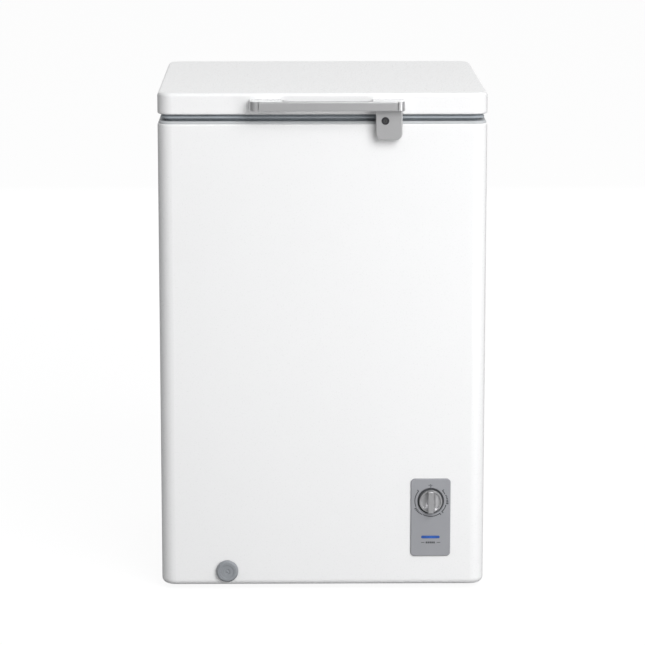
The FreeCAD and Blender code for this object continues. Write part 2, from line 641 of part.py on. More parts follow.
def drain_tube():
    """Elbow from the tank's floor down and forward to the outlet."""
    def elbow(radius, extra):
        down = cylinder_z(DRAIN_X, DRAIN_INLET_Y, DRAIN_Z, TANK_FLOOR + extra, radius)
        forward = cylinder_y(DRAIN_X, FRONT_Y + 0.5 - 3 * extra, DRAIN_INLET_Y, DRAIN_Z, radius)
        knee = Part.makeSphere(radius, Vector(DRAIN_X, DRAIN_INLET_Y, DRAIN_Z))
        return join([down, forward, knee])

    return elbow(6.9, 0).cut(elbow(5.0, 1))


def drain_spout():
    """Pipe that pulls forward out of the drain tube."""
    pipe = cylinder_y(DRAIN_X, FRONT_Y - 5, FRONT_Y + 55, DRAIN_Z, 4.95)
    bore = cylinder_y(DRAIN_X, FRONT_Y - 3, FRONT_Y + 60, DRAIN_Z, 3.4)
    return pipe.cut(bore)


def drain_dial():
    """Round cap with a sloping rim and stepped rings that turns on the spout."""
    back = FRONT_Y - 1.8
    face = back - 6.4
    rim = [(5.0, back), (DIAL_R, back), (DIAL_R, back - 1.6), (DIAL_R - 0.4, back - 2.4),
           (DIAL_R - 3.0, face)]
    steps = [(11.9, face), (11.2, face + 1.2), (5.0, face + 1.2), (4.4, face + 2.2), (2.0, face + 2.2),
             (1.4, face + 1.4), (0, face + 1.2)]
    profile = rim + steps + [(0, FRONT_Y - 5.1), (5.0, FRONT_Y - 5.1)]
    return turned_about_y(profile, DRAIN_X, DRAIN_Z)


def drain_plug():
    """Rubber stopper in the tank's floor."""
    floor = TANK_FLOOR + LINER_T
    stem = [(0, TANK_FLOOR - 8), (4.5, TANK_FLOOR - 8), (4.9, floor + 0.2)]
    head = [(9, floor + 0.2), (9, floor + 3), (3, floor + 4), (3, floor + 9), (5, floor + 11),
            (0, floor + 13)]
    return turned_about_z(stem + head, DRAIN_X, DRAIN_INLET_Y)


# ---------------------------------------------------------------- basket
def storage_basket():
    """Open basket: a floor, four flat sides, and a rim at the front and the back that hangs on the ledge."""
    rim_top = LEDGE_Z + LEDGE_T + 4
    front = TANK_FRONT + LINER_T + 0.2 + LEDGE_T + LEDGE_W + 2
    rear = TANK_REAR - LINER_T - 0.2 - LEDGE_T - LEDGE_W - 2
    floor_top = BASKET_LOW + BASKET_WIRE
    inner_front = front + BASKET_WIRE
    inner_rear = rear - BASKET_WIRE
    panels = [box(BASKET_X0, BASKET_X1, front, rear, BASKET_LOW, floor_top),
              box(BASKET_X0, BASKET_X0 + BASKET_WIRE, front, rear, floor_top, rim_top),
              box(BASKET_X1 - BASKET_WIRE, BASKET_X1, front, rear, floor_top, rim_top)]
    for y0, y1 in ((front, inner_front), (inner_rear, rear)):
        panels.append(box(BASKET_X0 + BASKET_WIRE, BASKET_X1 - BASKET_WIRE, y0, y1, floor_top, rim_top))
    for y0, y1 in ((front - LEDGE_W - 0.5, front), (rear, rear + LEDGE_W + 0.5)):
        panels.append(box(BASKET_X0, BASKET_X1, y0, y1, rim_top - BASKET_RIM, rim_top))
    return Part.makeCompound(panels)


# ---------------------------------------------------------------- lid
def lid_block(inset):
    """Lid outline with its round top and bottom edges, drawn in all round by the inset."""
    low = LID_BOTTOM + inset
    high = HEIGHT - inset
    block = body_slab(inset, low, high)
    block = block.makeFillet(LID_EDGE_R - inset, edges_where(block, lambda b: b.ZMin > high - 0.01))
    return block.makeFillet(LID_HEM_R - inset, edges_where(block, lambda b: b.ZMax < low + 0.01))


def lid_shell():
    """Folded steel lid skin with a turned-in lower edge."""
    shell = lid_block(0).cut(lid_block(LID_SHEET)).cut(body_slab(14, LID_BOTTOM - 1, LID_BOTTOM + 5))
    shell = shell.cut(screw_holes(HANDLE_SCREWS, FRONT_Y - 1, FRONT_Y + 3, 2.05))
    return shell.cut(screw_holes(LEAF_SCREWS, REAR_Y - 3, REAR_Y + 1, 2.05))


def lid_liner():
    """Formed plastic panel under the lid, with a shallow pan that reaches into the opening."""
    low = LID_BOTTOM + LID_SHEET
    plate = body_slab(LID_HEM_R + 0.2, low, low + LINER_PANEL_T)
    pan = body_slab(LID_PAN_INSET, LID_PAN_Z, low + LINER_PANEL_T)
    inside = body_slab(LID_PAN_INSET + LINER_PANEL_T, LID_PAN_Z + LINER_PANEL_T, low + 10)
    return join([plate, pan]).cut(inside)


def lid_foam():
    """Insulation inside the lid."""
    low = LID_BOTTOM + LID_SHEET + LINER_PANEL_T
    block = lid_block(LID_SHEET).cut(body_slab(0, LID_BOTTOM, low))
    pan = body_slab(LID_PAN_INSET + LINER_PANEL_T, LID_PAN_Z + LINER_PANEL_T, low + 1)
    foam = join([block, pan])
    foam = foam.cut(screw_holes(HANDLE_SCREWS, FRONT_Y - 1, FRONT_Y + 20, 4.4))
    return foam.cut(screw_holes(LEAF_SCREWS, REAR_Y - 20, REAR_Y + 1, 2.3))


def lid_gasket():
    """Soft seal under the lid: a base, a bulge and a narrow foot that meets the collar."""
    base = body_ring(GASKET_OUT + 3, GASKET_IN - 2, LID_BOTTOM - GASKET_HEEL, LID_BOTTOM)
    bulge = body_ring(GASKET_OUT, GASKET_IN, LID_BOTTOM - GASKET_BULGE_LOW, LID_BOTTOM - GASKET_BULGE_TOP)
    foot = body_ring(GASKET_OUT + 3, GASKET_IN - 3, DECK_Z + 0.3, LID_BOTTOM - GASKET_BULGE_LOW + 0.5)
    return join([base, bulge, foot])


def handle_ends():
    """For the left and the right half: outer end, inner end at the lid, inner end at the bar."""
    return [(HANDLE_LEFT, MOUNT_LEFT, GRIP_LEFT), (HANDLE_RIGHT, MOUNT_RIGHT, GRIP_RIGHT)]


def handle_mounts():
    """Two white blocks that carry the bar, each with a thin round-cornered top that reaches over it."""
    bar_back = HANDLE_Y + BAR_DEPTH
    blocks = []
    for outer_x, inner_x, _ in handle_ends():
        x0, x1 = min(outer_x, inner_x), max(outer_x, inner_x)
        block = box(x0, x1, bar_back, FRONT_Y, MOUNT_LOW, HANDLE_TOP)
        top = box(x0, x1, HANDLE_Y + 0.4, FRONT_Y, HANDLE_TOP, HANDLE_TOP + MOUNT_RISE)
        top = top.makeFillet(HANDLE_END_R, edges_where(
            top, lambda b: b.ZLength > 1 and b.YMax < bar_back and abs(b.XMin - outer_x) < 0.01))
        top = top.makeFillet(1.2, edges_where(
            top, lambda b: (b.ZMin > HANDLE_TOP + 1 and b.YMin < FRONT_Y - 1
                            and abs(b.XMin - inner_x) > 0.01)))
        blocks.append(join([block, top]))
    return Part.makeCompound(blocks).cut(screw_holes(HANDLE_SCREWS, FRONT_Y - 16, FRONT_Y + 1, 2.0))


def handle_bar():
    """Long satin grey bar with a wedge-shaped gusset behind each end of the grip."""
    bar = box(SEAM_LEFT, SEAM_RIGHT, HANDLE_Y, HANDLE_Y + BAR_DEPTH, HANDLE_LOW, HANDLE_TOP)
    bar = bar.makeFillet(2.0, edges_where(bar, lambda b: b.XLength > 100 and b.YMax < HANDLE_Y + 0.01))
    parts = [bar]
    for _, mount_x, grip_x in handle_ends():
        corners = [Vector(mount_x, FRONT_Y - 1, MOUNT_LOW),
                   Vector(mount_x, HANDLE_Y + BAR_DEPTH, MOUNT_LOW),
                   Vector(grip_x, HANDLE_Y + BAR_DEPTH, MOUNT_LOW)]
        face = Part.Face(Part.makePolygon(corners + [corners[0]]))
        parts.append(face.extrude(Vector(0, 0, HANDLE_TOP - 0.4 - MOUNT_LOW)))
    return join(parts)


def handle_end_caps():
    """Two caps with round outer corners that close the ends of the bar."""
    caps = []
    for outer_x, seam_x in ((HANDLE_LEFT, SEAM_LEFT - SEAM_GAP), (HANDLE_RIGHT, SEAM_RIGHT + SEAM_GAP)):
        cap = box(min(outer_x, seam_x), max(outer_x, seam_x), HANDLE_Y, HANDLE_Y + BAR_DEPTH,
                  HANDLE_LOW, HANDLE_TOP)
        cap = cap.makeFillet(HANDLE_END_R, edges_where(
            cap, lambda b: b.ZLength > 10 and b.YMax < HANDLE_Y + 0.01 and abs(b.XMin - outer_x) < 0.01))
        caps.append(cap.makeFillet(1.2, edges_where(
            cap, lambda b: (b.ZMax < HANDLE_LOW + 0.01 and b.YMin < HANDLE_Y + 1
                            and abs(b.XMin - seam_x) > 0.01))))
    return Part.makeCompound(caps)


def handle_screws():
    """Screws from inside the lid's front into the handle's mounts."""
    return Part.makeCompound([screw(x, z, FRONT_Y + LID_SHEET, -1, 15) for x, z in HANDLE_SCREWS])


def lock_tab():
    """Grey tongue under the handle's right mount: round lower corners, and flared at its upper left."""
    tab = front_plate(TAB_LEFT, TAB_RIGHT, TAB_LOW, MOUNT_LOW + 12, TAB_FRONT, TAB_BACK, TAB_R)
    flare = box(TAB_LEFT - TAB_FLARE, TAB_LEFT, TAB_FRONT, TAB_BACK, MOUNT_LOW - TAB_FLARE, MOUNT_LOW)
    hollow = cylinder_y(TAB_LEFT - TAB_FLARE, TAB_FRONT - 1, TAB_BACK + 1,
                        MOUNT_LOW - TAB_FLARE, TAB_FLARE - 0.4)
    tab = tab.cut(box(TAB_LEFT - 5, TAB_RIGHT + 5, TAB_FRONT - 5, TAB_BACK + 5, MOUNT_LOW, MOUNT_LOW + 20))
    tab = join([tab, flare.cut(hollow)])
    tab = tab.makeFillet(1.6, edges_where(
        tab, lambda b: b.YMax < TAB_FRONT + 0.01 and b.ZMin < MOUNT_LOW - 2 and b.XMin > TAB_LEFT - 1))
    return tab.cut(cylinder_y(LOCK_X, TAB_FRONT - 5, TAB_BACK + 5, LOCK_Z, LOCK_R - 0.8))


def lock_housing():
    """Black sleeve with a round rim, through the tab."""
    front = TAB_FRONT - 0.9
    profile = [(PLUG_R + RUNNING, front), (LOCK_R - 0.5, front), (LOCK_R, front + 0.5), (LOCK_R, TAB_FRONT),
               (LOCK_R - 0.9, TAB_FRONT), (LOCK_R - 0.9, TAB_BACK), (PLUG_R + RUNNING, TAB_BACK)]
    return turned_about_y(profile, LOCK_X, LOCK_Z)


def lock_plug():
    """Turning core of the lock with its keyway and a square tail."""
    core = cylinder_y(LOCK_X, TAB_FRONT - 0.4, TAB_BACK + 0.2, LOCK_Z, PLUG_R)
    tail = box(LOCK_X - TAIL_HALF, LOCK_X + TAIL_HALF, TAB_BACK, FRONT_Y - 2.3,
               LOCK_Z - TAIL_HALF, LOCK_Z + TAIL_HALF)
    keyway = box(LOCK_X - 0.5, LOCK_X + 0.5, TAB_FRONT - 1, TAB_FRONT + 6, LOCK_Z - 1.7, LOCK_Z + 1.7)
    return join([core, tail]).cut(keyway)


def lock_cam():
    """Flat tongue on the plug's tail: sideways when unlocked, down behind the keeper when locked."""
    arm = front_plate(LOCK_X - 4.5, LOCK_X + 16.5, LOCK_Z - 4.5, LOCK_Z + 4.5,
                      FRONT_Y - 4.1, FRONT_Y - 2.5, 4)
    hole = box(LOCK_X - TAIL_HALF, LOCK_X + TAIL_HALF, FRONT_Y - 6, FRONT_Y,
               LOCK_Z - TAIL_HALF, LOCK_Z + TAIL_HALF)
    return arm.cut(hole)


def lock_keeper():
    """Steel plate on the cabinet's front with a raised bridge that the cam hooks behind."""
    base = front_plate(LOCK_X - 15, LOCK_X + 15, 775, 790, FRONT_Y - 1, FRONT_Y, 2)
    bridge = box(LOCK_X - 7.0, LOCK_X + 7.0, FRONT_Y - 6.1, FRONT_Y - 4.7, 779, 790)
    foot = box(LOCK_X - 7.0, LOCK_X + 7.0, FRONT_Y - 6.1, FRONT_Y - 0.5, 777.5, 779.5)
    return join([base, bridge, foot]).cut(screw_holes(KEEPER_SCREWS, FRONT_Y - 3, FRONT_Y + 1, 2.05))


def keeper_screws():
    return Part.makeCompound([screw(x, z, FRONT_Y - 1, 1, 14, 2.0, 3.4, 1.4) for x, z in KEEPER_SCREWS])


# ---------------------------------------------------------------- lid hinges
def hinge_bracket(centre):
    """Folded steel channel on the cabinet's back, with two ears for the pin."""
    rear = REAR_Y + BRACKET_DEPTH
    parts = []
    for side in (-1, 1):
        edge = centre + side * BRACKET_HALF
        inner = edge - side * BRACKET_T
        x0, x1 = min(edge, inner), max(edge, inner)
        parts.append(box(x0, x1, REAR_Y, rear, BRACKET_LOW, 790))
        parts.append(box(x0, x1, REAR_Y + 4, rear, 789, AXIS_Z))
        parts.append(cylinder_x(x0, x1, AXIS_Y, AXIS_Z, rear - AXIS_Y))
        wing = edge + side * 12
        parts.append(box(min(edge, wing), max(edge, wing), REAR_Y, REAR_Y + BRACKET_T, BRACKET_LOW, 790))
    left = centre - BRACKET_HALF
    right = centre + BRACKET_HALF
    parts.append(box(left, right, rear - BRACKET_T, rear, BRACKET_LOW, 778))
    parts.append(box(left, right, REAR_Y, rear, BRACKET_LOW, BRACKET_LOW + BRACKET_T))
    bracket = join(parts).cut(cylinder_x(centre - 30, centre + 30, AXIS_Y, AXIS_Z, PIN_R + 0.02))
    return bracket.cut(screw_holes(BRACKET_SCREWS, REAR_Y - 1, REAR_Y + 3, 2.05))


def hinge_pins():
    """Two headed pins, one through each hinge."""
    pins = []
    for side in (-1, 1):
        centre = side * HINGE_X
        shank = cylinder_x(centre - 23.5, centre + 24.5, AXIS_Y, AXIS_Z, PIN_R)
        head = cylinder_x(centre - 23.5, centre - 21.8, AXIS_Y, AXIS_Z, 5.0)
        clip = cylinder_x(centre + 22.0, centre + 23.0, AXIS_Y, AXIS_Z, 5.0)
        pins.append(join([shank, head, clip]))
    return Part.makeCompound(pins)


def cam_face(centre):
    """Involute cam: its contact point rises evenly as the lid turns, always CAM_BASE_R before the pin."""
    steps = 12
    points = []
    for step in range(steps + 1):
        angle = OPEN_ANGLE * step / steps
        reach = CAM_START - CAM_BASE_R * angle
        forward = -CAM_BASE_R * math.cos(angle) + reach * math.sin(angle)
        upward = -CAM_BASE_R * math.sin(angle) - reach * math.cos(angle)
        points.append(Vector(centre - 6, AXIS_Y + forward, AXIS_Z + upward))
    curve = Part.BSplineCurve()
    curve.interpolate(points)
    hub = [Vector(centre - 6, AXIS_Y + 4.2, AXIS_Z), Vector(centre - 6, AXIS_Y - 4.6, AXIS_Z)]
    edges = [curve.toShape(), Part.LineSegment(points[-1], hub[0]).toShape(),
             Part.LineSegment(hub[0], hub[1]).toShape(), Part.LineSegment(hub[1], points[0]).toShape()]
    return Part.Face(Part.Wire(edges))


def hinge_leaf(centre):
    """Steel leaf on the lid's back with two arms, a hub and the cam."""
    plate = front_plate(centre - 30, centre + 30, 818, 842, REAR_Y, REAR_Y + BRACKET_T, 3)
    hub = cylinder_x(centre - 18, centre + 18, AXIS_Y, AXIS_Z, 4.8)
    parts = [plate, hub, cam_face(centre).extrude(Vector(12, 0, 0))]
    for x in (centre - 18, centre + 15):
        corners = [Vector(x, REAR_Y + 1, 818.5), Vector(x, REAR_Y + 1, 836),
                   Vector(x, AXIS_Y + 4.2, AXIS_Z + 2.2), Vector(x, AXIS_Y - 4.4, AXIS_Z - 1.8)]
        parts.append(Part.Face(Part.makePolygon(corners + [corners[0]])).extrude(Vector(3, 0, 0)))
    leaf = join(parts).cut(cylinder_x(centre - 30, centre + 30, AXIS_Y, AXIS_Z, PIN_R + RUNNING))
    return leaf.cut(screw_holes(LEAF_SCREWS, REAR_Y - 1, REAR_Y + 3, 2.05))


def hinge_slider(centre):
    """Plastic follower under the cam, with a stem that guides the spring."""
    top = AXIS_Z - CAM_START - CAM_GAP
    block = box(centre - 19.7, centre + 19.7, REAR_Y + 1.2, REAR_Y + BRACKET_DEPTH - BRACKET_T - 0.4,
                top - 14, top)
    stem = cylinder_z(centre, SPRING_Y, top - 40, top - 13, 4.0)
    return join([block, stem])


def hinge_spring(centre):
    """Outline of the compression spring between the bracket's floor and the slider."""
    low = BRACKET_LOW + BRACKET_T
    high = AXIS_Z - CAM_START - CAM_GAP - 14
    bore = cylinder_z(centre, SPRING_Y, low - 1, high + 1, 4.9)
    return cylinder_z(centre, SPRING_Y, low, high, 7.6).cut(bore)


def bracket_screws():
    return Part.makeCompound([screw(x, z, REAR_Y + BRACKET_T, -1, 16) for x, z in BRACKET_SCREWS])


def leaf_screws():
    return Part.makeCompound([screw(x, z, REAR_Y + BRACKET_T, -1, 16) for x, z in LEAF_SCREWS])


# ---------------------------------------------------------------- the node list
PIECES = {
    "cabinet_shell": cabinet_shell, "back_panel": back_panel, "base_pan": base_pan,
    "inner_liner": inner_liner, "cabinet_foam": cabinet_foam, "top_frame": top_frame, "feet": feet,
    "evaporator_coil": evaporator_coil, "condenser_coil": condenser_coil,
    "compressor_shell": compressor_shell, "compressor_motor": compressor_motor,
    "compressor_grommets": compressor_grommets, "terminal_cover": terminal_cover,
    "filter_drier": filter_drier, "suction_tube": suction_tube, "discharge_tube": discharge_tube,
    "capillary_tube": capillary_tube, "rear_grille": rear_grille, "grille_screws": grille_screws,
    "cord_inlet": cord_inlet, "control_bezel": control_bezel, "control_knob": control_knob,
    "knob_spindle": knob_spindle, "thermostat_body": thermostat_body, "thermostat_bulb": thermostat_bulb,
    "indicator_lens": indicator_lens, "indicator_lamps": indicator_lamps, "drain_collar": drain_collar,
    "drain_tube": drain_tube, "drain_spout": drain_spout, "drain_dial": drain_dial,
    "drain_plug": drain_plug, "storage_basket": storage_basket, "lid_shell": lid_shell,
    "lid_liner": lid_liner, "lid_foam": lid_foam, "lid_gasket": lid_gasket,
    "handle_mounts": handle_mounts, "handle_bar": handle_bar, "handle_end_caps": handle_end_caps,
    "handle_screws": handle_screws, "lock_tab": lock_tab, "lock_housing": lock_housing,
    "lock_plug": lock_plug, "lock_cam": lock_cam, "lock_keeper": lock_keeper,
    "keeper_screws": keeper_screws, "hinge_pins": hinge_pins, "bracket_screws": bracket_screws,
    "leaf_screws": leaf_screws,
}
SIDED_PIECES = {
    "hinge_bracket": hinge_bracket, "hinge_leaf": hinge_leaf, "hinge_slider": hinge_slider,
    "hinge_spring": hinge_spring,
}


def main():
    os.makedirs("parts", exist_ok=True)
    for name, make in PIECES.items():
        make().exportStep(f"parts/{name}.step")
    for name, make in SIDED_PIECES.items():
        make(-HINGE_X).exportStep(f"parts/{name}_left.step")
        make(HINGE_X).exportStep(f"parts/{name}_right.step")


main()
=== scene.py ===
import json
import math

import bpy
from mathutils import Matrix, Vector


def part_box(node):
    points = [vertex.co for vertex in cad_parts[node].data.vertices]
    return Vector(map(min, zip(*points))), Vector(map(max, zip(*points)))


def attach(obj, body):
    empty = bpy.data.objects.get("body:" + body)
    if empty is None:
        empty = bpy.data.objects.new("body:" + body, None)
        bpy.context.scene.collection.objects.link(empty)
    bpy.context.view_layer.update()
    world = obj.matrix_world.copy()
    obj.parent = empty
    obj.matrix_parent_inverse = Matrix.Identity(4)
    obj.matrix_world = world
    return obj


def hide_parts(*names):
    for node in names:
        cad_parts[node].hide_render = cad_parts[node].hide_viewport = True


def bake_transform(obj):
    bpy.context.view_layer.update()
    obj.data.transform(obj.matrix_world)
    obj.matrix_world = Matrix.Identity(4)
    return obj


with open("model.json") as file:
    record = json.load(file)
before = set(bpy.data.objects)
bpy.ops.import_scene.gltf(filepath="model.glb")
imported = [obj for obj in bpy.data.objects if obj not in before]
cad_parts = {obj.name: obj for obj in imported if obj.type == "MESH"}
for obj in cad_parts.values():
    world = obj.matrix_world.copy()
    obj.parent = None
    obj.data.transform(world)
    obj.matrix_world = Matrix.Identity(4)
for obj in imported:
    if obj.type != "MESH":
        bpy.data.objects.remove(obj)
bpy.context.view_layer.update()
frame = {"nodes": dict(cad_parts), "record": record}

MM = 0.001


# ------------------------------------------------------------------ places read from the frame
def corners(node):
    """Lowest and highest corner of a CAD node."""
    return [Vector(corner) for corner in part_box(node)]


def centre(node):
    low, high = corners(node)
    return (low + high) / 2


LID_LOW, LID_HIGH = corners("lid_shell")
GASKET_LOW, GASKET_HIGH = corners("lid_gasket")
BASKET_LOW, BASKET_HIGH = corners("storage_basket")
KNOB_CENTRE = centre("control_knob")
LENS_CENTRE = centre("indicator_lens")
PANEL_FACE_Y = corners("control_bezel")[0].y

# sizes that the frame's boxes do not tell
LID_CORNER_R = 24 * MM
LEAST_CORNER_R = 1.5 * MM
WELL_DEPTH = 2.0 * MM


# ------------------------------------------------------------------ node helpers
def new_material(name):
    material = bpy.data.materials.new(name)
    material.use_nodes = True
    return material, material.node_tree.nodes["Principled BSDF"]


def add_node(material, kind, **values):
    node = material.node_tree.nodes.new(kind)
    for key, value in values.items():
        setattr(node, key, value)
    return node


def link(material, output, socket):
    material.node_tree.links.new(output, socket)


def texture_space(material, stretch=(1, 1, 1)):
    """The object's own coordinates in metres, stretched."""
    coordinates = add_node(material, "ShaderNodeTexCoord")
    mapping = add_node(material, "ShaderNodeMapping")
    mapping.inputs["Scale"].default_value = stretch
    link(material, coordinates.outputs["Object"], mapping.inputs["Vector"])
    return mapping.outputs["Vector"]


def noise(material, space, scale, detail=3.0, roughness=0.55):
    node = add_node(material, "ShaderNodeTexNoise")
    node.inputs["Scale"].default_value = scale
    node.inputs["Detail"].default_value = detail
    node.inputs["Roughness"].default_value = roughness
    link(material, space, node.inputs["Vector"])
    return node.outputs["Fac"]


def spread(material, factor, low, high, start=0.3, end=0.7):
    """Turns a 0 to 1 pattern into a number between low and high."""
    node = add_node(material, "ShaderNodeMapRange")
    node.inputs["From Min"].default_value = start
    node.inputs["From Max"].default_value = end
    node.inputs["To Min"].default_value = low
    node.inputs["To Max"].default_value = high
    link(material, factor, node.inputs["Value"])
    return node.outputs["Result"]


def tint(material, factor, colour, change):
    """Mixes the colour with a version of itself made darker or lighter by change."""
    node = add_node(material, "ShaderNodeMix", data_type="RGBA")
    node.inputs["A"].default_value = (*colour, 1)
    node.inputs["B"].default_value = (*[min(1.0, channel * (1 + change)) for channel in colour], 1)
    link(material, factor, node.inputs["Factor"])
    return node.outputs["Result"]


def bump(material, shader, height, depth, strength=1.0):
    node = add_node(material, "ShaderNodeBump")
    node.inputs["Strength"].default_value = strength
    node.inputs["Distance"].default_value = depth
    link(material, height, node.inputs["Height"])
    link(material, node.outputs["Normal"], shader.inputs["Normal"])


def base_finish(name, rough, rough_vary=0.05, grain=900.0, depth=0.02 * MM, metallic=0.0, coat=0.0,
                coat_rough=0.08, specular=0.5, stretch=(1, 1, 1)):
    """Gloss that varies with a fine grain, which also stands depth high in the surface."""
    material, shader = new_material(name)
    fine = noise(material, texture_space(material, stretch), grain, 2.0)
    varied = spread(material, fine, rough - rough_vary, rough + rough_vary)
    link(material, varied, shader.inputs["Roughness"])
    if depth:
        bump(material, shader, fine, depth)
    shader.inputs["Metallic"].default_value = metallic
    shader.inputs["Coat Weight"].default_value = coat
    shader.inputs["Coat Roughness"].default_value = coat_rough
    shader.inputs["Specular IOR Level"].default_value = specular
    return material, shader


def surface(name, colour, rough, change=-0.06, patch=9.0, **look):
    """A finish whose colour drifts in slow patches."""
    material, shader = base_finish(name, rough, **look)
    patches = spread(material, noise(material, texture_space(material), patch), 0, 1)
    link(material, tint(material, patches, colour, change), shader.inputs["Base Color"])
    return material, shader


# ------------------------------------------------------------------ materials
def white_steel():
    """Gloss white enamel with a faint orange peel."""
    material, _ = surface("white_enamel", (0.862, 0.863, 0.865), 0.30, change=-0.015, rough_vary=0.04,
                          patch=3.0, grain=420.0, depth=0.012 * MM, coat=0.35, coat_rough=0.3)
    return material


def galvanised_steel():
    """Zinc sheet with its pale crystal patches."""
    material, shader = base_finish("galvanised_sheet", 0.38, metallic=0.85, grain=700.0)
    cells = add_node(material, "ShaderNodeTexVoronoi")
    cells.inputs["Scale"].default_value = 70.0
    link(material, texture_space(material), cells.inputs["Vector"])
    split = add_node(material, "ShaderNodeSeparateColor")
    link(material, cells.outputs["Color"], split.inputs["Color"])
    spangle = spread(material, split.outputs["Red"], 0, 1, 0, 1)
    link(material, tint(material, spangle, (0.50, 0.52, 0.53), 0.22), shader.inputs["Base Color"])
    return material


def tank_aluminium():
    """Aluminium with the pebbled pattern that is rolled into freezer tanks."""
    material, shader = surface("stucco_aluminium", (0.80, 0.81, 0.82), 0.33, metallic=0.55, patch=12.0,
                               depth=0)
    cells = add_node(material, "ShaderNodeTexVoronoi", feature="SMOOTH_F1")
    cells.inputs["Scale"].default_value = 150.0
    cells.inputs["Smoothness"].default_value = 0.6
    link(material, texture_space(material), cells.inputs["Vector"])
    bump(material, shader, cells.outputs["Distance"], 0.5 * MM, 0.8)
    return material


def foam():
    """Yellow polyurethane with open pores."""
    material, shader = surface("foam_insulation", (0.82, 0.66, 0.34), 0.9, change=-0.18, patch=25.0,
                               specular=0.2, depth=0)
    cells = add_node(material, "ShaderNodeTexVoronoi")
    cells.inputs["Scale"].default_value = 900.0
    link(material, texture_space(material), cells.inputs["Vector"])
    bump(material, shader, cells.outputs["Distance"], 0.5 * MM)
    return material


def frame_plastic():
    material, _ = surface("collar_plastic", (0.52, 0.535, 0.55), 0.42, change=-0.05, grain=1600.0)
    return material


def gasket_rubber():
    """Blue-grey soft vinyl with a dull, faintly powdery skin."""
    material, shader = surface("gasket_vinyl", (0.34, 0.375, 0.405), 0.48, change=-0.12, patch=14.0,
                               grain=700.0, depth=0.03 * MM)
    shader.inputs["Sheen Weight"].default_value = 0.25
    return material


def white_plastic():
    material, _ = surface("white_moulding", (0.84, 0.845, 0.85), 0.27, change=-0.02, grain=1500.0, coat=0.2)
    return material


def silver_plastic():
    """Satin silver paint on plastic: fine flakes, and a grain drawn along the bar."""
    material, shader = base_finish("satin_silver", 0.33, rough_vary=0.04, grain=1400.0, depth=0.003 * MM,
                              metallic=0.7, stretch=(0.12, 1, 1))
    flakes = spread(material, noise(material, texture_space(material), 5200.0, 0.0), 0, 1, 0.35, 0.65)
    link(material, tint(material, flakes, (0.57, 0.57, 0.575), 0.05), shader.inputs["Base Color"])
    return material


def panel_plastic():
    """Grey moulding with a fine spark-eroded grain."""
    material, _ = surface("panel_grey", (0.315, 0.32, 0.34), 0.42, change=-0.05, patch=18.0, grain=2400.0,
                          depth=0.03 * MM)
    return material


def knob_plastic():
    material, _ = surface("knob_grey", (0.56, 0.56, 0.57), 0.34, change=-0.05, patch=30.0, grain=2400.0,
                          depth=0.006 * MM, metallic=0.75)
    return material


def lens_plastic():
    """Clear blue window with a soft glow from the lamp behind its middle."""
    material, shader = surface("lens_blue", (0.02, 0.07, 0.27), 0.12, change=0.5, patch=160.0, coat=0.6)
    shader.inputs["Emission Color"].default_value = (0.02, 0.10, 0.50, 1)
    shader.inputs["Emission Strength"].default_value = 0.08
    return material


def drain_plastic():
    material, _ = surface("drain_grey", (0.28, 0.295, 0.315), 0.34, change=-0.06, patch=30.0, grain=1800.0)
    return material


def black_plastic():
    material, _ = surface("black_moulding", (0.022, 0.022, 0.025), 0.35, change=0.4, grain=1800.0)
    return material


def foot_plastic():
    material, _ = surface("foot_plastic", (0.035, 0.035, 0.038), 0.55, change=0.4, depth=0.05 * MM)
    return material


def black_steel():
    material, _ = surface("compressor_paint", (0.018, 0.018, 0.02), 0.28, change=0.5, patch=20.0, coat=0.5)
    return material


def motor_iron():
    material, _ = surface("motor_iron", (0.20, 0.17, 0.15), 0.6, change=-0.25, patch=40.0, metallic=0.7)
    return material


def copper():
    """Drawn copper with darker oxide patches."""
    material, _ = surface("copper_tube", (0.72, 0.36, 0.20), 0.28, change=-0.35, patch=30.0, metallic=1.0,
                          grain=300.0)
    return material


def coil_aluminium():
    material, _ = surface("coil_aluminium", (0.74, 0.75, 0.76), 0.35, change=-0.1, metallic=1.0)
    return material


def coil_steel():
    material, _ = surface("coil_steel", (0.10, 0.10, 0.11), 0.4, change=0.3, metallic=0.4)
    return material


def black_rubber():
    material, _ = surface("black_rubber", (0.02, 0.02, 0.021), 0.7, change=0.5, grain=700.0,
                          depth=0.05 * MM)
    return material


def zinc_steel():
    """Bright zinc plating with a slight yellow pass."""
    material, _ = surface("zinc_plate", (0.66, 0.65, 0.60), 0.25, change=-0.15, patch=60.0, metallic=1.0)
    return material


def spring_steel():
    material, _ = surface("spring_wire", (0.36, 0.36, 0.37), 0.3, change=-0.25, patch=80.0, metallic=1.0)
    return material


def slider_plastic():
    material, _ = surface("slider_plastic", (0.72, 0.71, 0.66), 0.4, change=-0.08, patch=50.0)
    return material


def basket_wire():
    """White dip coating on wire."""
    material, _ = surface("coated_wire", (0.84, 0.85, 0.86), 0.3, change=-0.04, patch=40.0, coat=0.3)
    return material


def circuit_board():
    material, _ = surface("circuit_board", (0.02, 0.16, 0.06), 0.35, change=-0.4, patch=120.0, coat=0.3)
    return material


def key_metal():
    material, _ = surface("key_metal", (0.26, 0.26, 0.255), 0.22, change=-0.3, patch=200.0, metallic=1.0)
    return material


def print_ink():
    # Dark ink for the panel's printed marks, also used for the painted shade ring in the knob's well.
    material, _ = surface("dark_print_and_painted_shade", (0.045, 0.047, 0.052), 0.5, change=0.3, patch=300.0)
    return material


